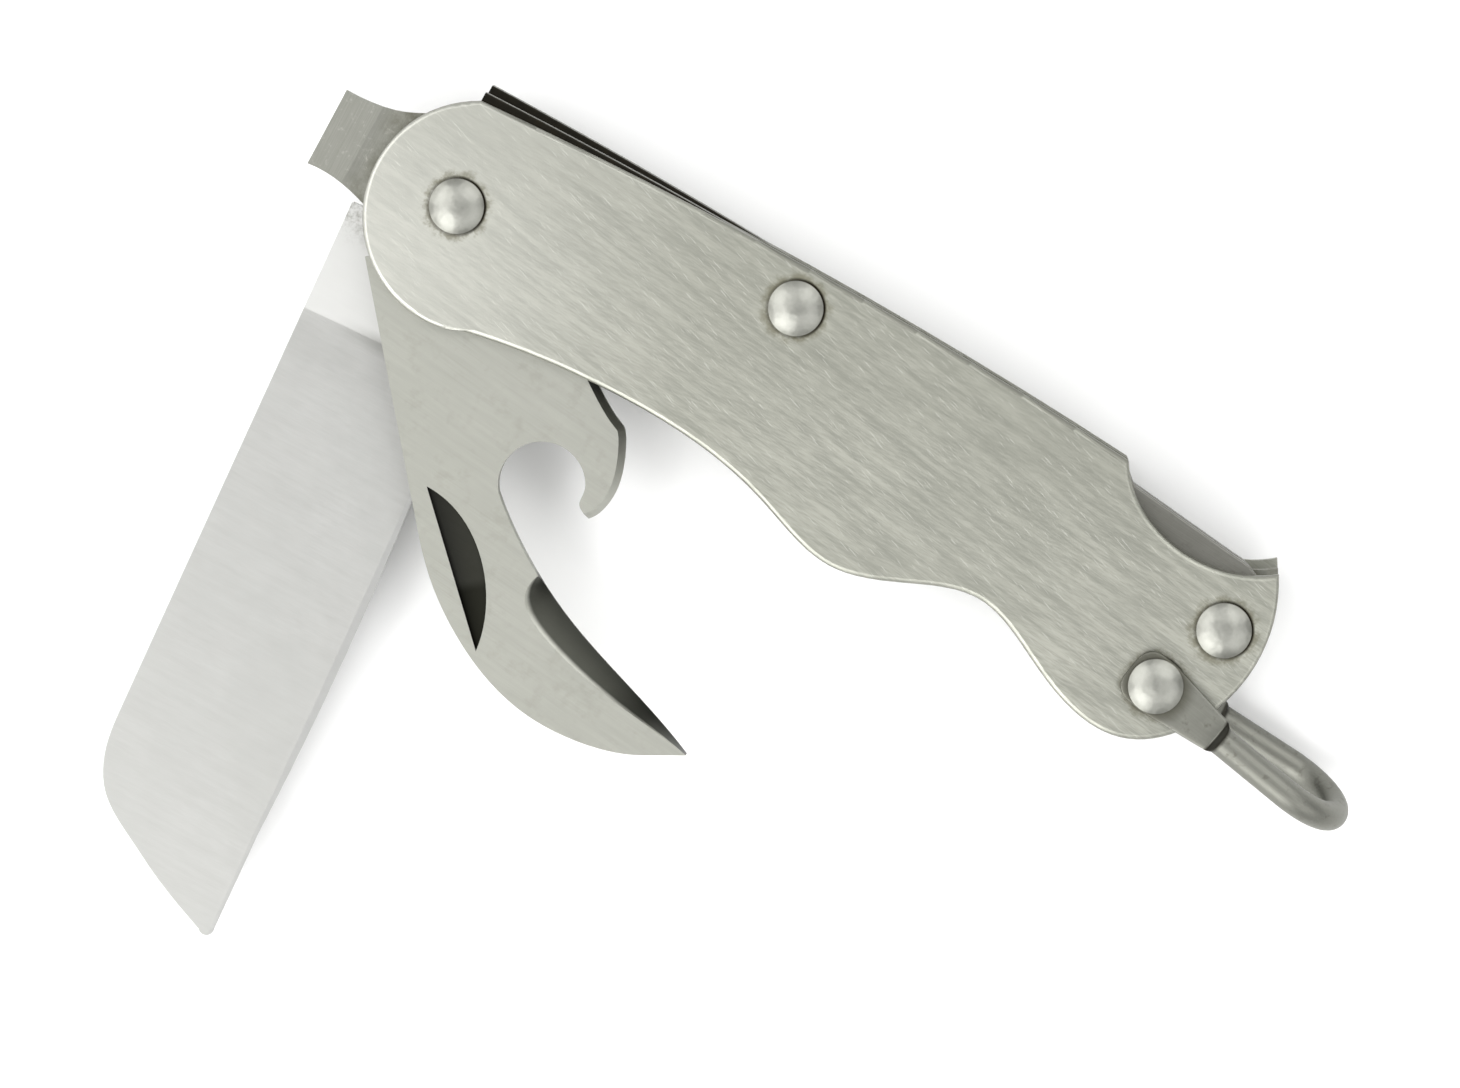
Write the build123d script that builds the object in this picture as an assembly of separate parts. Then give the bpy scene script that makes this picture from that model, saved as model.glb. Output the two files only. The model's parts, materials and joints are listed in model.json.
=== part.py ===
from build123d import *

import math
import os

# Rigging knife: two sheet scales, a centre plate that ends in a screwdriver tip,
# a sheepsfoot blade in the rear slot, a can opener in the front slot, a back
# spring for each tool, and a wire bail. Four domed rivets hold it together.
# Sizes are in millimetres. The working frame has the pivot rivet on its Z axis,
# +X along the handle towards the bail, +Y towards the springs, and Z = 0 on the
# outer face of the rear scale.

# Thicknesses, from the rear scale forwards.
scale_thickness = 1.5
rear_slot = 2.5
plate_thickness = 1.4
front_slot = 2.2
rim_round = 0.5

# Rivets.
pivot_rivet_radius = 1.75
rivet_radius = 1.5
head_radius = 2.9
head_rim = 0.2
head_height = 1.1
pivot = (0.0, 0.0)
middle_rivet = (36.05, 7.65)
end_rivet = (91.2, -0.3)
bail_rivet = (87.75, -8.75)
spacer_radius = 3.2

# Fits.
pivot_clearance = 0.04
side_clearance = 0.05
spring_gap = 0.1
tang_gap = 0.1

# Handle.
nose_radius = 12.15
nose_centre_x = 2.55
nose_top_y = 10.8
back_crown_y = 11.95
back_end = (74.0, 10.4)
horn = (93.4, 7.5)
plate_notch_rise = 0.4
rear_notch_rise = 1.1
butt_x = 95.9
heel = (92.4, -11.7)

# Screwdriver tip.
tip_end_x = -16.2
tip_top_y = 4.9
tip_bottom_y = -3.85
tip_end_thickness = 0.9
tip_taper = 4.2

# Tools. Each is drawn along its own back line: u from the pivot along the tool,
# v from its back towards its edge.
blade_rest_angle = -86.35
blade_back = 10.55
blade_step_inset = 0.3
blade_length = 82.2
blade_edge = 8.2
blade_edge_belly = 8.7
blade_plunge = 16.8
blade_edge_thickness = 0.35
opener_rest_angle = -50.7
opener_back = 10.6
opener_step_inset = 1.5
opener_tip = (61.0, 12.7)
hook_notch_centre = (30.3, 3.1)
hook_notch_radius = 4.6
opener_edge_thickness = 0.35
opener_hook_bevel_width = 1.2
opener_hook_bevel_depth = 0.7
nick_depth = 0.6

# Back springs. Each is drawn down on its tang, and is stored lifted by it.
spring_free_x = -3.0
spring_inner_y = 5.0
spring_drop = 0.25
spring_eye_radius = 2.8
spring_lug_radius = 4.1
blade_spring_lift = 3.0
opener_spring_lift = 1.8

# Bail.
bail_front_angle = -10.7
bail_rear_angle = -4.2
bail_length = 25.0
bail_wire_radius = 1.55
bail_eye_half_width = 3.05
bail_eye_back = 3.2
bail_shoulder = 8.6
bail_neck_half_width = 1.8
bail_tab_thickness = 0.9

# Tangs, round under the springs, with a step that meets the spring's free end.
tang_radius = spring_inner_y - tang_gap
blade_tang_step = tang_radius - blade_step_inset
opener_tang_step = tang_radius - opener_step_inset

# Levels.
rear_slot_floor = scale_thickness
plate_floor = rear_slot_floor + rear_slot
front_slot_floor = plate_floor + plate_thickness
front_scale_floor = front_slot_floor + front_slot
handle_top = front_scale_floor + scale_thickness


def face_of(*edges):
    """Flat face inside a closed run of edges."""
    return Face(Wire(list(edges)))


def slab(face, low, high):
    """Plate of the face's outline between two levels."""
    return Pos(0, 0, low) * extrude(face, amount=high - low, dir=(0, 0, 1))


def post(centre, radius, low, high):
    """Upright round bar."""
    bar = Cylinder(radius, high - low, align=(Align.CENTER, Align.CENTER, Align.MIN))
    return Pos(centre[0], centre[1], low) * bar


def at_angle(angle, centre=(0.0, 0.0)):
    """Placement of a piece that swings about an upright axis."""
    return Pos(centre[0], centre[1], 0) * Rot(0, 0, angle)


def handle_outline(rise=0.0):
    """Edges of the handle, clockwise from the nose. The notch is shallower by the rise."""
    nose_top = (nose_centre_x - math.sqrt(nose_radius**2 - nose_top_y**2), nose_top_y)
    nose_bottom = (nose_centre_x, -nose_radius)
    back = ThreePointArc(nose_top, (35.0, back_crown_y), back_end)
    point = (horn[0] - rise / 3, horn[1] + rise)
    notch = Spline(back_end, (77.8, 6.6 + rise / 2), (83.9, 4.75 + rise), (89.05, 5.3 + rise), point)
    butt = ThreePointArc(point, (butt_x, -1.2), heel)
    grip = Spline(
        heel,
        (84.3, -15.65),
        (76.5, -13.3),
        (67.3, -9.75),
        (58.4, -12.6),
        (52.0, -14.25),
        (42.4, -11.6),
        (24.0, -9.25),
        (10.8, -10.4),
        nose_bottom,
    )
    nose = ThreePointArc(nose_bottom, (nose_centre_x - nose_radius, 0.0), nose_top)
    return [back, notch, butt, grip, nose]


def rivet_holes(low, high, pivot_radius=pivot_rivet_radius):
    """Bars that fill the four rivet holes of a fixed plate."""
    bars = post(pivot, pivot_radius, low, high)
    for centre in (middle_rivet, end_rivet, bail_rivet):
        bars += post(centre, rivet_radius, low, high)
    return bars


def scale_plate(low, rim_at_top, rise):
    """Handle scale with its outer rim rounded."""
    plate = slab(face_of(*handle_outline(rise)), low, low + scale_thickness)
    rim = plate.faces().sort_by(Axis.Z)[-1 if rim_at_top else 0]
    plate = fillet(rim.outer_wire().edges(), rim_round)
    return plate - rivet_holes(low - 1, low + scale_thickness + 1)


def tip_outline():
    """Screwdriver tip, with concave shoulders where it leaves the nose."""
    upper = Spline((-5.0, 8.0), (-7.4, 6.9), (-10.0, 5.7), (-12.6, 5.1), (tip_end_x, tip_top_y))
    end = Line((tip_end_x, tip_top_y), (tip_end_x, tip_bottom_y))
    lower = Spline((tip_end_x, tip_bottom_y), (-11.3, -4.1), (-8.6, -4.9), (-5.0, -6.4))
    root = Line((-5.0, -6.4), (-5.0, 8.0))
    return [upper, end, lower, root]


def centre_plate_solid():
    """Plate between the slots, thinned to the screwdriver tip."""
    low, high = plate_floor, front_slot_floor
    plate = slab(face_of(*handle_outline(plate_notch_rise)), low, high)
    plate += slab(face_of(*tip_outline()), low, high)
    thinning = (plate_thickness - tip_end_thickness) / 2
    for level, inward in ((high, -1), (low, 1)):
        wedge = Plane.XZ * face_of(
            Line((tip_end_x + tip_taper, level), (tip_end_x, level + inward * thinning)),
            Line((tip_end_x, level + inward * thinning), (tip_end_x - 1, level)),
            Line((tip_end_x - 1, level), (tip_end_x + tip_taper, level)),
        )
        plate -= extrude(wedge, amount=20, both=True)
    return plate - rivet_holes(low - 1, high + 1)


def blade_outline():
    """Sheepsfoot blade with its round tang and the step that meets the spring."""
    step_bottom = (blade_tang_step, -math.sqrt(tang_radius**2 - blade_tang_step**2))
    tang_left = (-tang_radius, 0.0)
    heel_corner = (29.8, blade_edge)
    return [
        Line(step_bottom, (blade_tang_step, -blade_back)),
        Line((blade_tang_step, -blade_back), (64.4, -blade_back)),
        Spline((64.4, -blade_back), (69.3, -10.0), (72.7, -8.3), (76.0, -4.0), (81.9, 6.7),
               tangents=[(1, 0), (0.42, 0.91)]),
        ThreePointArc((81.9, 6.7), (blade_length, 7.7), (81.2, blade_edge)),
        Line((81.2, blade_edge), (70.0, blade_edge)),
        ThreePointArc((70.0, blade_edge), (50.0, blade_edge_belly), heel_corner),
        Line(heel_corner, (0.0, tang_radius)),
        ThreePointArc((0.0, tang_radius), tang_left, step_bottom),
    ]


def blade_solid():
    """Main blade, flat on the tang and hollowed to the edge past the plunge line."""
    low = rear_slot_floor + side_clearance
    high = plate_floor - side_clearance
    middle = (low + high) / 2
    blade = slab(face_of(*blade_outline()), low, high)
    reach = blade_edge_belly + 1.0
    for surface, side in ((high, 1), (low, -1)):
        edge_level = middle + side * blade_edge_thickness / 2
        section = Plane.YZ * face_of(
            Line((-blade_back, surface), (reach, edge_level)),
            Line((reach, edge_level), (reach, surface)),
            Line((reach, surface), (-blade_back, surface)),
        )
        blade -= Pos(blade_plunge, 0, 0) * extrude(section, amount=blade_length, dir=(1, 0, 0))
    return blade - post(pivot, pivot_rivet_radius + pivot_clearance, low - 1, high + 1)


def opener_outline():
    """Can opener with its hook and the long curved point."""
    step_bottom = (opener_tang_step, -math.sqrt(tang_radius**2 - opener_tang_step**2))
    cx, cy = hook_notch_centre
    notch_floor = (cx - 0.1, cy - hook_notch_radius)
    notch_side = (cx - hook_notch_radius, cy)
    notch_roof = (cx, cy + hook_notch_radius)
    tang_side = (-1.5, math.sqrt(tang_radius**2 - 1.5**2))
    shoulder = (21.0, 10.8)
    return [
        Line(step_bottom, (opener_tang_step, -opener_back)),
        Line((opener_tang_step, -opener_back), (33.5, -opener_back)),
        Spline((33.5, -opener_back), (44.8, -8.5), (54.2, -2.6), (59.7, 6.4), opener_tip,
               tangents=[(1, 0), (0.2, 0.98)]),
        Spline(opener_tip, (54.8, 9.2), (44.3, 2.95), (37.3, 0.15), notch_floor),
        ThreePointArc(notch_floor, notch_side, notch_roof),
        Spline(notch_roof, (33.1, 6.6), (34.7, 7.2), tangents=[(1, 0), (1, 0.5)]),
        Spline((34.7, 7.2), (33.9, 9.1), (31.6, 11.1), (26.4, 12.7), shoulder,
               tangents=[(-0.1, 1.0), (tang_side[0] - shoulder[0], tang_side[1] - shoulder[1])]),
        Line(shoulder, tang_side),
        ThreePointArc(tang_side, (-tang_radius, 0.0), step_bottom),
    ]


def bevel_section(level, *curve):
    """Area ground away beside the point's edge at one level, inside the given curve."""
    start = (39.4, 1.3)
    tip = (opener_tip[0] + 0.3, opener_tip[1] + 0.2)
    outside = ((62.0, 18.0), (39.0, 8.0))
    return Pos(0, 0, level) * face_of(
        Spline(start, *curve, tip),
        Line(tip, outside[0]),
        Line(outside[0], outside[1]),
        Line(outside[1], start),
    )


def opener_solid():
    """Can opener with a nail nick and an edge ground along the point's inner side."""
    low = front_slot_floor + side_clearance
    high = front_scale_floor - side_clearance
    opener = slab(face_of(*opener_outline()), low, high)
    nick = face_of(
        Line((46.2, -7.0), (28.2, -8.8)),
        Spline((28.2, -8.8), (30.6, -6.6), (38.9, -4.6), (46.2, -7.0)),
    )
    opener -= slab(nick, high - nick_depth, high + 1)
    opener -= loft([
        bevel_section(low + opener_edge_thickness, (41.5, 1.9), (47.5, 4.75), (55.5, 9.65)),
        bevel_section(high + 0.01, (41.2, -0.75), (47.3, 1.1), (55.9, 8.05)),
    ])
    hook_edge = opener.faces().sort_by(Axis.Z)[-1].edges().sort_by_distance((31.6, 11.1, high))[0]
    opener = chamfer(hook_edge, opener_hook_bevel_depth, opener_hook_bevel_width)
    return opener - post(pivot, pivot_rivet_radius + pivot_clearance, low - 1, high + 1)


def spring_outline():
    """Back spring, down on its tang, from its free end to the lug on the end rivet."""
    top_y = nose_top_y - spring_drop
    lug_x, lug_y = end_rivet
    return [
        Line((spring_free_x, spring_inner_y), (spring_free_x, top_y)),
        ThreePointArc((spring_free_x, top_y), (35.0, back_crown_y - spring_drop), (73.6, 10.1)),
        Line((73.6, 10.1), (75.8, 8.4)),
        Line((75.8, 8.4), (88.9, 6.9)),
        Spline((88.9, 6.9), (93.3, 3.2), (lug_x + spring_lug_radius, lug_y),
               tangents=[(0.9, -0.4), (0, -1)]),
        ThreePointArc((lug_x + spring_lug_radius, lug_y), (lug_x, lug_y - spring_lug_radius),
                      (lug_x - spring_lug_radius, lug_y)),
        Spline((lug_x - spring_lug_radius, lug_y), (83.0, 3.9), (77.0, spring_inner_y),
               tangents=[(0, 1), (-1, 0)]),
        Line((77.0, spring_inner_y), (spring_free_x, spring_inner_y)),
    ]


def spring_parts(low, high, lift):
    """The spring's fixed length, and its arm lifted about the middle rivet."""
    profile = face_of(*spring_outline())
    x, y = middle_rivet
    rivet_line = Pos(x - 60, y) * Rectangle(120, 120)
    eye = Pos(x, y) * Circle(spring_eye_radius)
    arm = slab((profile & rivet_line) + eye, low + side_clearance, high - side_clearance)
    arm -= post(middle_rivet, rivet_radius + pivot_clearance, low - 1, high + 1)
    arm = at_angle(-lift, middle_rivet) * (Pos(-x, -y, 0) * arm)
    gap = spring_gap
    room = Pos(x, y) * (Rot(0, 0, -lift) * (Pos(gap - 60, 0) * Rectangle(120, 120)))
    room += Pos(x, y) * Circle(spring_eye_radius + gap)
    anchor = slab(profile - room, low, high)
    anchor -= post(end_rivet, rivet_radius, low - 1, high + 1)
    return anchor, arm


def domed_head(base_level, upwards):
    """Rivet head: a short rim under a spherical cap."""
    rim_level = head_rim
    crown = (0.0, head_height)
    rim_edge = (head_radius, rim_level)
    rise = head_height - rim_level
    dome_radius = (head_radius**2 + rise**2) / (2 * rise)
    half_angle = math.asin(head_radius / dome_radius) / 2
    centre_z = head_height - dome_radius
    halfway = (dome_radius * math.sin(half_angle), centre_z + dome_radius * math.cos(half_angle))
    half = Plane.XZ * face_of(
        Line((0.0, 0.0), (head_radius, 0.0)),
        Line((head_radius, 0.0), rim_edge),
        ThreePointArc(rim_edge, halfway, crown),
        Line(crown, (0.0, 0.0)),
    )
    head = revolve(half, Axis.Z)
    if not upwards:
        head = Rot(180, 0, 0) * head
    return Pos(0, 0, base_level) * head


def rivet(centre, radius, low, high):
    """Rivet with a domed head on each side."""
    body = post((0, 0), radius, low, high)
    body += domed_head(high, True)
    body += domed_head(low, False)
    return Pos(centre[0], centre[1], 0) * body


def bail_eye():
    """Flattened end of the wire: an eye round the rivet that narrows to the shoulder."""
    half, neck, back = bail_eye_half_width, bail_neck_half_width, bail_eye_back
    root = bail_shoulder + 0.3
    return face_of(
        ThreePointArc((-1.4, half), (-2.7, half - 0.5), (-back, 1.3)),
        Line((-back, 1.3), (-back, -1.3)),
        ThreePointArc((-back, -1.3), (-2.7, -half + 0.5), (-1.4, -half)),
        Line((-1.4, -half), (1.0, -half)),
        Line((1.0, -half), (root, -neck)),
        Line((root, -neck), (root, neck)),
        Line((root, neck), (1.0, half)),
        Line((1.0, half), (-1.4, half)),
    )


def bail_solid():
    """Round wire bent to a U whose legs are splayed a little, its ends flattened into eyes."""
    inner_top = handle_top + side_clearance
    inner_bottom = -side_clearance
    top_axis = inner_top + bail_wire_radius
    bottom_axis = inner_bottom - bail_wire_radius
    bend_radius = (top_axis - bottom_axis) / 2
    corner = bail_length - bail_wire_radius

    def point(along, angle, level):
        turn = math.radians(angle)
        return (along * math.cos(turn), along * math.sin(turn), level)

    path = FilletPolyline(
        point(bail_shoulder, bail_front_angle, top_axis),
        point(corner, bail_front_angle, top_axis),
        point(corner, bail_rear_angle, bottom_axis),
        point(bail_shoulder, bail_rear_angle, bottom_axis),
        radius=bend_radius,
    )
    stretches = []
    for edge in path.edges():
        section = Plane(origin=edge @ 0, z_dir=edge % 0) * Circle(bail_wire_radius)
        stretches.append(sweep(section, path=edge))
    bail = stretches[0]
    for stretch in stretches[1:]:
        bail += stretch
    bail += slab(at_angle(bail_front_angle) * bail_eye(), inner_top, inner_top + bail_tab_thickness)
    bail += slab(at_angle(bail_rear_angle) * bail_eye(), inner_bottom - bail_tab_thickness, inner_bottom)
    bail -= post((0, 0), rivet_radius + pivot_clearance, inner_bottom - 5, inner_top + 5)
    return Pos(bail_rivet[0], bail_rivet[1], 0) * bail


def spacer(low, high):
    """Washer that fills a slot round the bail rivet."""
    return post(bail_rivet, spacer_radius, low, high) - post(bail_rivet, rivet_radius, low - 1, high + 1)


def assembly():
    """Every node, in the working frame."""
    blade_anchor, blade_arm = spring_parts(rear_slot_floor, plate_floor, blade_spring_lift)
    opener_anchor, opener_arm = spring_parts(front_slot_floor, front_scale_floor, opener_spring_lift)
    bail_clamp = bail_tab_thickness + 2 * side_clearance
    return {
        "front_scale": scale_plate(front_scale_floor, True, 0.0),
        "rear_scale": scale_plate(0.0, False, rear_notch_rise),
        "centre_plate": centre_plate_solid(),
        "main_blade": at_angle(blade_rest_angle) * blade_solid(),
        "can_opener": at_angle(opener_rest_angle) * opener_solid(),
        "blade_spring_anchor": blade_anchor,
        "blade_spring_arm": blade_arm,
        "opener_spring_anchor": opener_anchor,
        "opener_spring_arm": opener_arm,
        "pivot_rivet": rivet(pivot, pivot_rivet_radius, 0.0, handle_top),
        "middle_rivet": rivet(middle_rivet, rivet_radius, 0.0, handle_top),
        "end_rivet": rivet(end_rivet, rivet_radius, 0.0, handle_top),
        "bail_rivet": rivet(bail_rivet, rivet_radius, -bail_clamp, handle_top + bail_clamp),
        "bail": bail_solid(),
        "rear_bail_spacer": spacer(rear_slot_floor, plate_floor),
        "front_bail_spacer": spacer(front_slot_floor, front_scale_floor),
    }


pieces = assembly()
bounds = Compound(children=[piece.moved(Location()) for piece in pieces.values()]).bounding_box()
shift = (-bounds.center().X, -bounds.center().Y, -bounds.min.Z)
os.makedirs("parts", exist_ok=True)
for name, piece in pieces.items():
    placed = Pos(*shift) * piece
    placed.label = name
    export_step(placed, f"parts/{name}.step")
print("moved by", tuple(round(value, 4) for value in shift))
print("size", bounds.size)
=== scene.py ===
import json
import math

import bpy
import numpy as np
from mathutils import Matrix, Vector


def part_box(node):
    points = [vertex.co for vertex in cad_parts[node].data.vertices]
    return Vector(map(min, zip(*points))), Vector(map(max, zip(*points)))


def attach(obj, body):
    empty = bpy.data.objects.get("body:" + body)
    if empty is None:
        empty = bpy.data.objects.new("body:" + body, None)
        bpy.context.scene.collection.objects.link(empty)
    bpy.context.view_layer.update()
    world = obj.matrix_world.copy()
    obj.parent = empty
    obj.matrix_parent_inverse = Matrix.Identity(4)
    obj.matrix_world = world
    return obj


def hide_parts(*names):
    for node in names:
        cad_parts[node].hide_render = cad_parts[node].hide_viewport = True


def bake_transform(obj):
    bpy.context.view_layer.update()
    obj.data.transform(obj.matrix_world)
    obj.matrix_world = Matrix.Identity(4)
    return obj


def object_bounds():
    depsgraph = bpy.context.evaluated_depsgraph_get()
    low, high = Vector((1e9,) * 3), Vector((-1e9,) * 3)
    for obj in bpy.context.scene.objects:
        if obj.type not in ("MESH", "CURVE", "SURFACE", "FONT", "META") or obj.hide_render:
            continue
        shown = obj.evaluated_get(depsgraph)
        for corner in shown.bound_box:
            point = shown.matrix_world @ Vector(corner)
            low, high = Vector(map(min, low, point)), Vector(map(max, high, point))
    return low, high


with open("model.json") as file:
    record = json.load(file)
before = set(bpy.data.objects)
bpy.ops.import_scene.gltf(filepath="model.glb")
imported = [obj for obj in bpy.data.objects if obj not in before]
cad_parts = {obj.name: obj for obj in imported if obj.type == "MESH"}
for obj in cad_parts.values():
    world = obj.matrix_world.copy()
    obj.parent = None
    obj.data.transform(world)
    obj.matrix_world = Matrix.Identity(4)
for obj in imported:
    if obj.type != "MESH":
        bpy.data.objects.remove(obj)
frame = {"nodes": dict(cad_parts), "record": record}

MM = 0.001
cad_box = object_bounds()
joints = {joint["name"]: joint for joint in frame["record"]["behaviour"]["joints"]}
pivot = Vector(joints["blade_hinge"]["pos_m"])
middle_rivet = Vector(joints["blade_spring_flex"]["pos_m"])
bail_rivet = Vector(joints["bail_hinge"]["pos_m"])
end_rivet = sum(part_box("end_rivet"), Vector()) / 2
front_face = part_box("front_scale")[1].z
rear_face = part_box("rear_scale")[0].z


# ---------------------------------------------------------------- shader maths

class Value:
    """A shader socket that takes part in Python expressions."""

    def __init__(self, finish, socket):
        self.finish = finish
        self.socket = socket

    def __add__(self, other):
        return self.finish.maths("ADD", self, other)

    def __sub__(self, other):
        return self.finish.maths("SUBTRACT", self, other)

    def __rsub__(self, other):
        return self.finish.maths("SUBTRACT", other, self)

    def __mul__(self, other):
        return self.finish.maths("MULTIPLY", self, other)

    def __truediv__(self, other):
        return self.finish.maths("DIVIDE", self, other)

    def __pow__(self, other):
        return self.finish.maths("POWER", self, other)

    def __abs__(self):
        return self.finish.maths("ABSOLUTE", self)

    __radd__ = __add__
    __rmul__ = __mul__


class Finish:
    """A material, with one method that makes any node."""

    def __init__(self, name):
        self.material = bpy.data.materials.new(name)
        self.material.use_nodes = True
        self.tree = self.material.node_tree
        self.tree.nodes.clear()
        place = self.node("TexCoord", output="Object")
        offset = self.node("VectorMath", {"operation": "SUBTRACT"}, {0: place, 1: tuple(pivot)})
        self.point = self.node("VectorMath", {"operation": "SCALE"}, {0: offset, "Scale": 1000.0})
        self.x = self.node("SeparateXYZ", inputs={0: self.point}, output="X")
        self.y = self.node("SeparateXYZ", inputs={0: self.point}, output="Y")
        self.z = self.node("SeparateXYZ", inputs={0: self.point}, output="Z")

    def node(self, kind, settings=None, inputs=None, output=0):
        """Node of a kind, its settings made first, then its sockets fed."""
        made = self.tree.nodes.new("ShaderNode" + kind)
        for key, value in (settings or {}).items():
            setattr(made, key, value)
        for key, value in (inputs or {}).items():
            if isinstance(value, Value):
                self.tree.links.new(value.socket, made.inputs[key])
            else:
                made.inputs[key].default_value = value
        return Value(self, made.outputs[output])

    def maths(self, operation, *terms):
        return self.node("Math", {"operation": operation}, dict(enumerate(terms)))

    def least(self, a, b):
        return self.maths("MINIMUM", a, b)

    def most(self, a, b):
        return self.maths("MAXIMUM", a, b)

    def step(self, value, low, high, start=0.0, end=1.0):
        """Smooth change from start to end as value goes from low to high."""
        return self.node("MapRange", {"interpolation_type": "SMOOTHSTEP"},
                         {"Value": value, "From Min": low, "From Max": high,
                          "To Min": start, "To Max": end}, output="Result")

    def along(self, angle):
        """Distances along and across a direction in the plane of the knife, in mm."""
        c, s = math.cos(math.radians(angle)), math.sin(math.radians(angle))
        return self.x * c + self.y * s, self.y * c - self.x * s

    def noise(self, vector, scale=1.0, detail=2.0, rough=0.5):
        return self.node("TexNoise", {"noise_dimensions": "3D"},
                         {"Vector": vector, "Scale": scale, "Detail": detail,
                          "Roughness": rough}, output="Fac")

    def streaks(self, angle, length, width, seed=0.0, detail=3.0):
        """Noise drawn out along a direction: length and width are a streak's, in mm."""
        u, v = self.along(angle)
        vector = self.node("CombineXYZ", inputs={
            "X": u / length + seed, "Y": v / width, "Z": self.z / width})
        return self.noise(vector, 1.0, detail)

    def distance(self, centre):
        """Distance in mm from an upright axis."""
        dx = self.x - (centre.x - pivot.x) * 1000
        dy = self.y - (centre.y - pivot.y) * 1000
        return (dx * dx + dy * dy) ** 0.5

    def rivet_seams(self):
        """Distance in mm to the nearest rivet axis, the painted shade of the seam round its head, which is
        darkest towards the handle's back, away from the light, and the dull halo outside it."""
        seam, back = None, None
        for centre in (pivot, middle_rivet, end_rivet, bail_rivet):
            distance = self.distance(centre)
            dx = self.x - (centre.x - pivot.x) * 1000
            dy = self.y - (centre.y - pivot.y) * 1000
            # painted shade: the seam is darker on the side towards the handle's back, away from the light
            lean = self.step((dx * 0.75 + dy * 0.66) / 3.0, -0.7, 1.0)
            lean = lean * self.step(distance, 3.6, 4.4, 1.0, 0.0)
            seam = distance if seam is None else self.least(seam, distance)
            back = lean if back is None else self.most(back, lean)
        # painted shade in the seam between each rivet head and the scale
        ring = self.step(seam, 2.82, 2.9) * self.step(seam, 3.0, 3.3, 1.0, 0.0) * (0.35 + back * 0.65)
        halo = self.step(seam, 3.0, 4.8, 1.0, 0.0)
        return seam, ring, halo

    def blend(self, factor, a, b, mode="MIX"):
        """Colour a passing to colour b."""
        made = self.tree.nodes.new("ShaderNodeMix")
        made.data_type = "RGBA"
        made.blend_type = mode
        for socket, value in ((made.inputs[0], factor), (made.inputs[6], a), (made.inputs[7], b)):
            if isinstance(value, Value):
                self.tree.links.new(value.socket, socket)
            else:
                socket.default_value = value if isinstance(value, float) else (*value, 1.0)[:4]
        return Value(self, made.outputs[2])

    def finish(self, colour, roughness, height, metallic=1.0, lift=0.02, shade=1.0):
        """Principled metal, its colour dimmed by shade, with a bump of full height lift, in mm."""
        colour = self.blend(1.0, colour, (shade, shade, shade), "MULTIPLY")
        normal = self.node("Bump", inputs={"Strength": 1.0, "Distance": lift * MM, "Height": height})
        shader = self.node("BsdfPrincipled", inputs={
            "Base Color": colour, "Roughness": roughness, "Metallic": metallic, "Normal": normal})
        out = self.tree.nodes.new("ShaderNodeOutputMaterial")
        self.tree.links.new(shader.socket, out.inputs["Surface"])
        return self.material


# ------------------------------------------------------------------- materials

def scale_steel():
    """Sheet brushed along the handle, with dull, darker blotched halos round the rivets, painted shade in
    the seams round the rivets, on the rounded front rim and towards the handle's back, and painted light
    towards the pivot.
    """
    f = Finish("brushed scale sheet")
    fine = f.streaks(-9, 3.2, 0.11, 1.0)
    short = f.streaks(4, 1.6, 0.22, 4.0)
    broad = f.streaks(-8, 9.0, 0.8, 4.0)
    cloud = f.noise(f.point, 0.05, 2.0, 0.5)
    mottle = f.noise(f.point, 0.45, 4.0, 0.6)
    scratch = f.step(f.streaks(-20, 2.2, 0.13, 9.0, 1.0), 0.66, 0.74)
    seam, ring, halo = f.rivet_seams()
    grain = fine * 0.28 + short * 0.27 + broad * 0.45
    colour = f.blend(f.step(grain, 0.36, 0.64), (0.40, 0.405, 0.355), (0.595, 0.595, 0.525))
    colour = f.blend(f.step(mottle, 0.5, 0.8) * 0.5, colour, (0.40, 0.405, 0.35))
    colour = f.blend(f.step(cloud, 0.40, 0.62) * 0.25, colour, (0.42, 0.425, 0.37))
    # painted light: the sheet paler towards the pivot end
    colour = f.blend(f.step(f.x, -10.0, 34.0, 0.6, 0.0), colour, (0.76, 0.76, 0.71))
    # painted shade: the sheet darker towards the handle's back, where its crown falls away from the light
    colour = f.blend(f.step(f.y, -9.0, 10.0, 0.0, 0.30), colour, (0.33, 0.335, 0.285))
    colour = f.blend(scratch * 0.45, colour, (0.72, 0.72, 0.66))
    # darker blotches on the halo round each rivet
    rivet_blotch = f.step(f.noise(f.point, 0.9, 4.0, 0.65) + halo * 0.35, 0.62, 0.95) * halo
    colour = f.blend(rivet_blotch * 0.75, colour, (0.20, 0.19, 0.13))
    # painted shade: near-black seam round each rivet head
    colour = f.blend(ring, colour, (0.02, 0.017, 0.01))
    # painted shade on the rounded rim just behind the front face
    face = (front_face - pivot.z) * 1000
    rim = f.step(f.z, face - 0.40, face - 0.04, 1.0, 0.0) * f.step(f.z, face - 1.4, face - 0.8)
    colour = f.blend(rim * 0.75, colour, (0.20, 0.20, 0.17))
    roughness = 0.38 + grain * 0.10 + mottle * 0.06 + halo * 0.06
    height = fine * 0.5 + short * 0.3 + broad * 0.25 - ring * 1.5 - scratch * 0.3
    return f.finish(colour, roughness, height, lift=0.012, shade=0.72)


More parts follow.
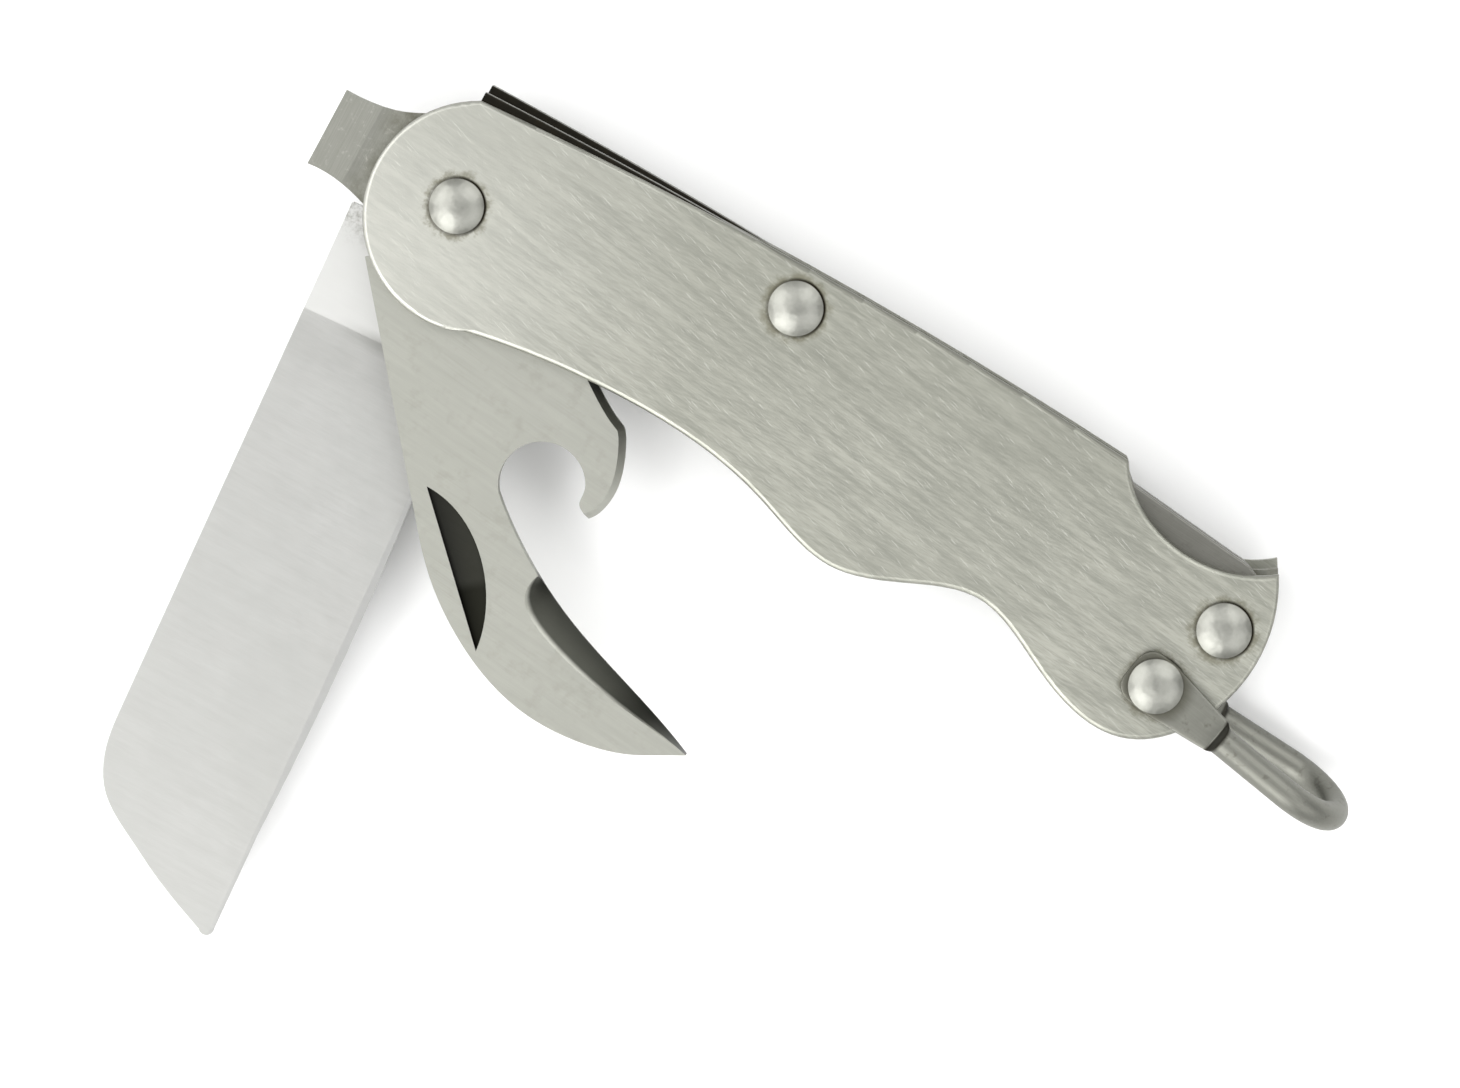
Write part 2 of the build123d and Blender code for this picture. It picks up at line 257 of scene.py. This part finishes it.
def plate_steel():
    """Centre plate: bead-dull near the handle, ground paler at the screwdriver tip."""
    f = Finish("mottled centre plate")
    grit = f.noise(f.point, 1.6, 5.0, 0.7)
    blotch = f.noise(f.point, 0.6, 3.0, 0.6)
    lines = f.streaks(90, 4.0, 0.10, 2.0)
    near = f.step(f.x, -12.5, -8.5)
    colour = f.blend(lines, (0.34, 0.345, 0.30), (0.50, 0.50, 0.455))
    colour = f.blend(near * f.step(blotch + grit * 0.5, 0.55, 0.95), colour, (0.20, 0.195, 0.15))
    colour = f.blend(near * 0.25, colour, (0.36, 0.36, 0.30))
    colour = f.blend(f.step(grit, 0.55, 0.7) * 0.5, colour, (0.62, 0.62, 0.56))
    pit = f.step(grit, 0.60, 0.72) * near
    colour = f.blend(pit * 0.6, colour, (0.10, 0.09, 0.065))
    roughness = 0.34 + near * 0.14 + grit * 0.08
    return f.finish(colour, roughness, lines * 0.3 + grit * near - pit * 1.5, lift=0.015, shade=0.61)


def blade_steel():
    """Satin blade, brighter tang, a dark line at the plunge and a fine whetted edge."""
    f = Finish("satin blade")
    u, v = f.along(-86.35)
    fine = f.streaks(-86.35 + 86, 7.0, 0.07, 3.0)
    broad = f.streaks(-86.35 + 86, 14.0, 0.6, 6.0)
    cloud = f.noise(f.point, 0.07, 3.0, 0.6)
    stain = f.noise(f.point, 0.35, 5.0, 0.65)
    speck = f.noise(f.point, 2.6, 4.0, 0.7)
    tang = f.step(u, 16.6, 17.0, 1.0, 0.0)
    colour = f.blend(fine * 0.5 + broad * 0.5, (0.60, 0.60, 0.575), (0.80, 0.80, 0.78))
    colour = f.blend(f.step(cloud, 0.35, 0.65) * 0.4, colour, (0.66, 0.665, 0.64))
    colour = f.blend(f.step(u, 30.0, 80.0) * 0.18, colour, (0.60, 0.60, 0.57))
    colour = f.blend(tang * 0.7, colour, (0.87, 0.87, 0.85))
    near = f.step(u, 4.5, 9.5, 1.0, 0.0)
    colour = f.blend(near * f.step(stain + speck * 0.5, 0.62, 0.92) * 0.8, colour, (0.20, 0.19, 0.15))
    # a dark line across the blade at the plunge
    plunge = f.step(u, 15.6, 16.8) * f.step(u, 16.9, 18.6, 1.0, 0.0)
    colour = f.blend(plunge * f.step(v, -9.0, 6.0) * 0.8, colour, (0.17, 0.165, 0.14))
    soft = f.step(u, 17.0, 19.5) * f.step(u, 19.5, 25.0, 1.0, 0.0)
    colour = f.blend(soft * 0.22, colour, (0.50, 0.50, 0.48))
    whet = f.step(v, 7.75, 8.0) * f.step(u, 27.0, 30.0)
    colour = f.blend(whet * 0.55, colour, (0.86, 0.86, 0.85))
    roughness = 0.33 + fine * 0.08 + stain * 0.05 - whet * 0.08 + tang * 0.04
    height = fine * 0.6 + broad * 0.2 - f.step(speck, 0.66, 0.74) * near
    return f.finish(colour, roughness, height, lift=0.005, shade=0.73)


def opener_steel():
    """Opener brushed across, a ground bevel on the point darkened by a painted dark reflection, and painted
    shade in the nail nick.
    """
    f = Finish("opener steel")
    u, v = f.along(-50.7)
    fine = f.streaks(-6, 6.0, 0.08, 5.0)
    broad = f.streaks(-6, 12.0, 0.7, 8.0)
    mottle = f.noise(f.point, 0.5, 4.0, 0.6)
    colour = f.blend(fine * 0.55 + broad * 0.45, (0.40, 0.405, 0.36), (0.60, 0.60, 0.545))
    colour = f.blend(f.step(mottle, 0.5, 0.75) * 0.35, colour, (0.36, 0.36, 0.31))
    top = (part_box("can_opener")[1].z - pivot.z) * 1000
    low = f.step(f.z, top - 0.35, top - 0.03, 1.0, 0.0)
    above = f.step(f.z, top - 1.98, top - 1.90)
    bevel = f.step(u, 38.6, 40.0) * low * above
    # painted reflection: the ground bevel coloured near black, as if it mirrored a dark region
    ground = f.blend(f.step(f.z, top - 1.7, top - 0.3), (0.022, 0.023, 0.018), (0.055, 0.056, 0.046))
    colour = f.blend(bevel * 0.95, colour, ground)
    # painted shade in the nail nick, a recess, near black
    nick = low * above * f.step(u, 45.5, 47.0, 1.0, 0.0) * f.step(v, -4.0, -3.0, 1.0, 0.0)
    nick_shade = f.blend(f.step(v, -8.6, -5.0), (0.004, 0.004, 0.003), (0.024, 0.024, 0.018))
    colour = f.blend(nick * 0.95, colour, nick_shade)
    roughness = 0.36 + fine * 0.10 + mottle * 0.06
    return f.finish(colour, roughness, fine * 0.6 + broad * 0.25, lift=0.006, shade=0.74)


def spring_steel():
    """Dark spring, its faces near black except towards the notch end, with its thin polished edges."""
    f = Finish("dark spring steel")
    spring_mottle = f.noise(f.point, 0.8, 5.0, 0.65)
    lines = f.streaks(-4, 5.0, 0.10, 3.0)
    flat = None
    for name in ("blade_spring_anchor", "opener_spring_anchor"):
        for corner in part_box(name):
            near = f.step(abs(f.z - (corner.z - pivot.z) * 1000), 0.06, 0.16, 1.0, 0.0)
            flat = near if flat is None else f.most(flat, near)
    colour = f.blend(lines, (0.40, 0.40, 0.35), (0.64, 0.63, 0.57))
    right = f.step(f.x, 55.0, 74.0)
    # the spring's faces, except towards the notch end, coloured near black with dark blotches
    dark_faces = flat * (1.0 - right)
    colour = f.blend(dark_faces * 0.95, colour, f.blend(spring_mottle, (0.004, 0.0035, 0.002), (0.05, 0.042, 0.026)))
    colour = f.blend(f.step(spring_mottle, 0.52, 0.7) * 0.5 * (1.0 - right * 0.7), colour, (0.06, 0.05, 0.03))
    return f.finish(colour, 0.30 + spring_mottle * 0.25, spring_mottle * 0.6 + lines * 0.3, lift=0.01, shade=0.32)


def rivet_steel():
    """Peened heads: a soft tumbled grain, with painted shade darkening the rim and the seam at its edge."""
    f = Finish("peened rivet heads")
    grain = f.noise(f.point, 1.3, 4.0, 0.6)
    dent = f.noise(f.point, 0.45, 2.0, 0.5)
    seam, _, _ = f.rivet_seams()
    rim = f.step(seam, 2.1, 2.9)
    colour = f.blend(grain, (0.44, 0.445, 0.40), (0.62, 0.62, 0.57))
    # painted shade: the dome darker towards its rim
    colour = f.blend(rim * 0.35, colour, (0.36, 0.36, 0.31))
    # painted shade in the seam at the edge of the head
    colour = f.blend(f.step(seam, 2.84, 2.9) * 0.7, colour, (0.08, 0.07, 0.05))
    return f.finish(colour, 0.36 + grain * 0.14, dent * 2.0 + grain * 0.3, lift=0.07, shade=0.57)


def bail_steel():
    """Drawn wire, dull, with dark blotches, painted shade round the rivet head and painted shade in the
    step at the shoulder.
    """
    f = Finish("bail wire")
    lines = f.streaks(-10, 3.0, 0.14, 7.0)
    blotch = f.noise(f.point, 0.9, 5.0, 0.65)
    reach = f.distance(bail_rivet)
    colour = f.blend(lines * 0.6 + blotch * 0.4, (0.30, 0.305, 0.26), (0.50, 0.50, 0.45))
    colour = f.blend(f.step(blotch, 0.55, 0.72) * 0.5, colour, (0.17, 0.165, 0.125))
    # painted shade in the step at the shoulder, where the flat eye turns into round wire
    shoulder = f.step(reach, 8.1, 8.4) * f.step(reach, 8.7, 9.2, 1.0, 0.0)
    colour = f.blend(shoulder * 0.85, colour, (0.03, 0.027, 0.018))
    # painted shade round the rivet head, where the eye is pressed in
    colour = f.blend(f.step(reach, 2.9, 4.6, 0.7, 0.0), colour, (0.13, 0.125, 0.09))
    return f.finish(colour, 0.40 + blotch * 0.18, lines * 0.4 + blotch * 0.6, lift=0.02, shade=0.50)


# ----------------------------------------------------------------- new surfaces

def grid_mesh(name, points, close_ring=True):
    """Mesh over an (n, m, 3) array of points in metres: n rings of m points, with the
    ends closed by one face each."""
    n, m, _ = points.shape
    i = np.arange(n - 1)[:, None]
    j = np.arange(m)[None, :]
    k = (j + 1) % m
    quads = np.stack([i * m + j, i * m + k, (i + 1) * m + k, (i + 1) * m + j], -1).reshape(-1, 4)
    ends = [list(range(m))[::-1], [(n - 1) * m + q for q in range(m)]]
    mesh = bpy.data.meshes.new(name)
    mesh.from_pydata(points.reshape(-1, 3).tolist(), [], quads.tolist() + ends)
    mesh.update()
    piece = bpy.data.objects.new(name, mesh)
    bpy.context.scene.collection.objects.link(piece)
    return piece


def superellipse(count, power):
    """Ring of unit points: |a|^p + |b|^p = 1, p given for each station."""
    t = np.linspace(0, 2 * np.pi, count, endpoint=False)
    c, s = np.cos(t), np.sin(t)
    p = 2.0 / np.asarray(power)[:, None]
    return np.sign(c) * np.abs(c) ** p, np.sign(s) * np.abs(s) ** p


def make_spring(name, arm, anchor, body):
    """One bent strip in place of its anchor and arm. At each station along the handle its
    section is a rounded rectangle between the inner and the back edge; the free length
    leans away from the middle rivet by the stored lift."""
    low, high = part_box(anchor)
    arm_low, arm_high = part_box(arm)
    x0 = arm_low.x
    x1 = high.x
    mx = middle_rivet.x
    lift = math.radians(next(j["range_deg"][1] for j in joints.values() if j["child"] == body))
    stations = np.concatenate([np.linspace(x0, x0 + 0.0004, 4), np.linspace(x0 + 0.001, x1 - 0.008, 150),
                               x1 - 0.008 * np.cos(np.linspace(0, np.pi / 2, 40))[1:]])
    s = (stations - pivot.x) * 1000
    e = (end_rivet.x - pivot.x) * 1000
    ey = (end_rivet.y - pivot.y) * 1000
    back = np.where(s < 73.6, 11.69 - 0.00079 * (s - 35.0) ** 2 - 0.0063 * (s - 35.0) * (s > 35.0),
                    np.interp(s, [73.6, 75.8, 88.9], [10.1, 8.4, 6.9]))
    lug = np.clip(1 - ((s - e) / 4.1) ** 2, 0, 1) ** 0.5 * 4.1
    tail = np.clip((s - 88.9) / (e + 4.1 - 88.9), 0, 1)
    back = np.where(s > 88.9, ey + (6.9 - ey) * (1 - tail ** 2.0) ** 0.5, back)
    inner = np.full_like(s, 5.0)
    dip = np.clip((s - 77.0) / (e - 77.0), 0, 1)
    inner = np.where(s > 77.0, 5.0 - (5.0 - ey + 4.1) * (dip * dip * (3 - 2 * dip)), inner)
    inner = np.where(s > e, ey - lug, inner)
    lean = np.clip((mx - stations) * 1000 + 4.0, 0, 8.0)
    rise = math.tan(lift) * (lean ** 2 / 16.0 + np.clip((mx - stations) * 1000 - 4.0, 0, None))
    back, inner = back + rise, inner + rise
    half = np.maximum((back - inner) / 2, 0.02) * MM
    middle = pivot.y + (back + inner) / 2 * MM
    z0 = (low.z + high.z) / 2
    hz = (high.z - low.z) / 2 - 0.00003
    t = np.linspace(0, np.pi / 2, 4)
    corner = 0.00018
    ring_y, ring_z = [], []
    for k, (sy, sz) in enumerate(((1, 1), (-1, 1), (-1, -1), (1, -1))):
        turn = t + k * np.pi / 2
        ring_y.append(np.stack([np.full_like(turn, sy), corner * (np.cos(turn) - sy)], 1))
        ring_z.append(np.stack([np.full_like(turn, sz), corner * (np.sin(turn) - sz)], 1))
    ring_y, ring_z = np.concatenate(ring_y), np.concatenate(ring_z)
    y = middle[:, None] + ring_y[None, :, 0] * half[:, None] + ring_y[None, :, 1]
    z = z0 + ring_z[None, :, 0] * hz + ring_z[None, :, 1] + 0 * y
    x = stations[:, None] + 0 * y
    piece = grid_mesh(name, np.stack([x, y, z], -1))
    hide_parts(anchor, arm)
    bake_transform(piece)
    return piece


def make_bail():
    """Wire bail as one sweep. The centreline is two straight legs, splayed by a few degrees,
    and a short straight between them, joined by two tangent arcs. The section is a
    superellipse whose half width, half thickness and squareness pass from the flattened
    eye to the round wire over the shoulder."""
    low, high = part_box("bail")
    radius, tab = 1.55, 0.9
    length = 25.0 - 0.015  # kept just inside the solid wire's outline
    front_angle, rear_angle, mean_angle = -10.7, -4.2, -7.45
    top_axis = (high.z - rear_face) * 1000 - radius
    bottom_axis = (low.z - rear_face) * 1000 + radius
    fillet = (top_axis - bottom_axis) / 2
    ways = [np.array([math.cos(math.radians(a)), math.sin(math.radians(a)), 0.0])
            for a in (front_angle, rear_angle)]
    up = np.array([0.0, 0.0, 1.0])
    corners = [ways[0] * (length - radius) + up * top_axis, ways[1] * (length - radius) + up * bottom_axis]
    across = corners[1] - corners[0]
    gap = np.linalg.norm(across)
    across = across / gap
    arcs = []
    for corner, leg, other in ((corners[0], ways[0], across), (corners[1], ways[1], -across)):
        half = math.acos(np.clip(-leg @ other, -1, 1)) / 2
        inward = other - leg
        centre = corner + inward / np.linalg.norm(inward) * fillet / math.sin(half)
        first = centre - corner
        foot = corner + leg * (first @ leg) - centre
        head = corner + other * (first @ other) - centre
        turn = math.acos(np.clip(foot @ head / fillet ** 2, -1, 1))
        share = np.linspace(0, 1, 22)[:, None]
        swung = foot * np.sin((1 - share) * turn) + head * np.sin(share * turn)
        arcs.append(centre + swung / math.sin(turn))
    reach = float((arcs[0][0] - up * top_axis) @ ways[0])
    reach_rear = float((arcs[1][0] - up * bottom_axis) @ ways[1])
    p = np.concatenate([-3.2 + 3.2 * (1 - np.cos(np.linspace(0, np.pi / 2, 18))), np.linspace(0.3, 8.0, 20),
                        np.linspace(8.1, 9.0, 12), np.linspace(9.4, reach, 12)[:-1]])
    p_rear = p * np.where(p > 9.4, reach_rear / reach, 1.0)
    turned = np.clip((p - 8.2) / 0.6, 0, 1)
    turned = turned * turned * (3 - 2 * turned)
    flat_width = np.interp(p, [-3.2, -3.1, -2.7, -2.2, -1.4, 0.5, 8.6, 30],
                           [1.4, 1.9, 2.5, 2.85, 3.05, 3.05, 1.85, 1.5])
    thick = tab / 2 * (1 - turned) + radius * turned
    width = flat_width * (1 - turned) + radius * turned
    power = 7.0 * (1 - turned) + 2.0 * turned
    front = ways[0] * p[:, None] + up * (top_axis - radius + thick)[:, None]
    rear = ways[1] * p_rear[:, None] + up * (bottom_axis + radius - thick)[:, None]
    line = np.concatenate([front, arcs[0], arcs[1][::-1], rear[::-1]])
    plain = np.full(44, radius)
    width, thick, power = (np.concatenate([w, q, w[::-1]]) for w, q in
                           ((width, plain), (thick, plain), (power, plain * 0 + 2.0)))
    tangent = np.concatenate([np.broadcast_to(ways[0], front.shape),
                              np.gradient(line, axis=0)[len(front):-len(rear)],
                              np.broadcast_to(-ways[1], rear.shape)])
    tangent = tangent / np.linalg.norm(tangent, axis=1)[:, None]
    mean = math.radians(mean_angle)
    level = np.array([-math.sin(mean), math.cos(mean), 0.0])
    side = level - tangent * (tangent @ level)[:, None]
    side = side / np.linalg.norm(side, axis=1)[:, None]
    outward = np.cross(tangent, side)
    sa, sb = superellipse(40, power)
    points = (line[:, None, :] + side[:, None, :] * (sa * width[:, None])[..., None]
              + outward[:, None, :] * (sb * thick[:, None])[..., None])
    points = points * MM + np.array([bail_rivet.x, bail_rivet.y, rear_face])
    piece = grid_mesh("bail_wire", points)
    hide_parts("bail")
    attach(piece, "bail")
    return piece


# --------------------------------------------------------------------- assembly

finishes = {
    "scale_steel": scale_steel(),
    "plate_steel": plate_steel(),
    "blade_steel": blade_steel(),
    "opener_steel": opener_steel(),
    "spring_steel": spring_steel(),
    "rivet_steel": rivet_steel(),
    "bail_steel": bail_steel(),
}
for part in frame["record"]["subparts"]:
    node = frame["nodes"][part["node"]]
    node.data.materials.clear()
    node.data.materials.append(finishes[part["material_slot"]])

new_pieces = {
    "spring_steel": [
        make_spring("blade_spring_strip", "blade_spring_arm", "blade_spring_anchor",
                    "blade_spring"),
        make_spring("opener_spring_strip", "opener_spring_arm", "opener_spring_anchor",
                    "opener_spring"),
    ],
    "bail_steel": [make_bail()],
}
for finish_name, made in new_pieces.items():
    for piece in made:
        piece.data.materials.append(finishes[finish_name])
        piece.data.polygons.foreach_set("use_smooth", np.ones(len(piece.data.polygons), bool))
        piece.data.set_sharp_from_angle(angle=math.radians(50))


# ------------------------------------------------------------------------ stage

def make_floor():
    """Plain pale floor, level with the lowest point of the knife."""
    mesh = bpy.data.meshes.new("floor")
    half, z = 3.0, cad_box[0][2] - 0.0002
    corners = [(-half, -half, z), (half, -half, z), (half, half, z), (-half, half, z)]
    mesh.from_pydata(corners, [], [(0, 1, 2, 3)])
    floor = bpy.data.objects.new("floor", mesh)
    bpy.context.scene.collection.objects.link(floor)
    paper = bpy.data.materials.new("pale floor")
    paper.use_nodes = True
    sockets = paper.node_tree.nodes["Principled BSDF"].inputs
    sockets["Base Color"].default_value = (0.9, 0.9, 0.9, 1)
    sockets["Roughness"].default_value = 0.9
    sockets["Specular IOR Level"].default_value = 0.1
    mesh.materials.append(paper)


def make_world():
    """Light tent: an even bright roof, brighter to the left of the handle and in front of
    it, and greyer low down behind the handle's back."""
    world = bpy.data.worlds.new("tent")
    bpy.context.scene.world = world
    world.use_nodes = True
    tree = world.node_tree
    tree.nodes.clear()
    place = tree.nodes.new("ShaderNodeTexCoord")
    lean = tree.nodes.new("ShaderNodeVectorMath")
    lean.operation = "DOT_PRODUCT"
    lean.inputs[1].default_value = (-0.75, -0.60, 0.28)
    ramp = tree.nodes.new("ShaderNodeValToRGB")
    stops = ramp.color_ramp.elements
    stops[0].position, stops[0].color = 0.0, (0.30, 0.305, 0.30, 1)
    stops[1].position, stops[1].color = 1.0, (1.0, 1.0, 0.99, 1)
    span = tree.nodes.new("ShaderNodeMapRange")
    span.inputs["From Min"].default_value = -0.6
    span.inputs["From Max"].default_value = 1.0
    background = tree.nodes.new("ShaderNodeBackground")
    background.inputs["Strength"].default_value = 0.90
    out = tree.nodes.new("ShaderNodeOutputWorld")
    tree.links.new(place.outputs["Generated"], lean.inputs[0])
    tree.links.new(lean.outputs["Value"], span.inputs["Value"])
    tree.links.new(span.outputs["Result"], ramp.inputs["Fac"])
    tree.links.new(ramp.outputs["Color"], background.inputs["Color"])
    tree.links.new(background.outputs["Background"], out.inputs["Surface"])


def soft_light(name, towards, distance, size, power):
    """Square soft box that looks at the knife from a direction."""
    data = bpy.data.lights.new(name, "AREA")
    data.shape = "SQUARE"
    data.size = size
    data.energy = power
    lamp = bpy.data.objects.new(name, data)
    direction = Vector(towards).normalized()
    lamp.location = direction * distance
    lamp.rotation_euler = direction.to_track_quat("Z", "Y").to_euler()
    bpy.context.scene.collection.objects.link(lamp)


def make_camera():
    """Long lens above the open knife, rolled so that the handle runs down to the right,
    and leaning a little over the handle's back."""
    roll = math.radians(28.64)
    tilt = math.radians(5.6)
    distance = 0.56
    view_width = 0.1523
    target = Vector((pivot.x + 41.83 * MM, pivot.y - 17.2 * MM, front_face))
    back = Vector((0.0, math.sin(tilt), math.cos(tilt)))
    up = Vector((-math.sin(roll), math.cos(roll), 0.0))
    right = up.cross(back).normalized()
    up = back.cross(right)
    data = bpy.data.cameras.new("camera")
    data.sensor_width = 36.0
    data.lens = 36.0 * distance / view_width
    data.clip_start = 0.01
    camera = bpy.data.objects.new("camera", data)
    bpy.context.scene.collection.objects.link(camera)
    axes = Matrix((right, up, back)).transposed().to_4x4()
    camera.matrix_world = Matrix.Translation(target + back * distance) @ axes
    bpy.context.scene.camera = camera


make_floor()
make_world()
soft_boxes = (
    ("front box", (-0.25, -1.0, 0.95), 8.5),
    ("left box", (-1.0, 0.1, 0.95), 5.5),
    ("right box", (1.0, -0.1, 0.95), 3.6),
    ("back box", (0.2, 1.0, 0.95), 5.2),
)
for light_name, towards, power in soft_boxes:
    soft_light(light_name, towards, 1.0, 0.8, power)
make_camera()
bpy.context.scene.view_settings.view_transform = "Standard"
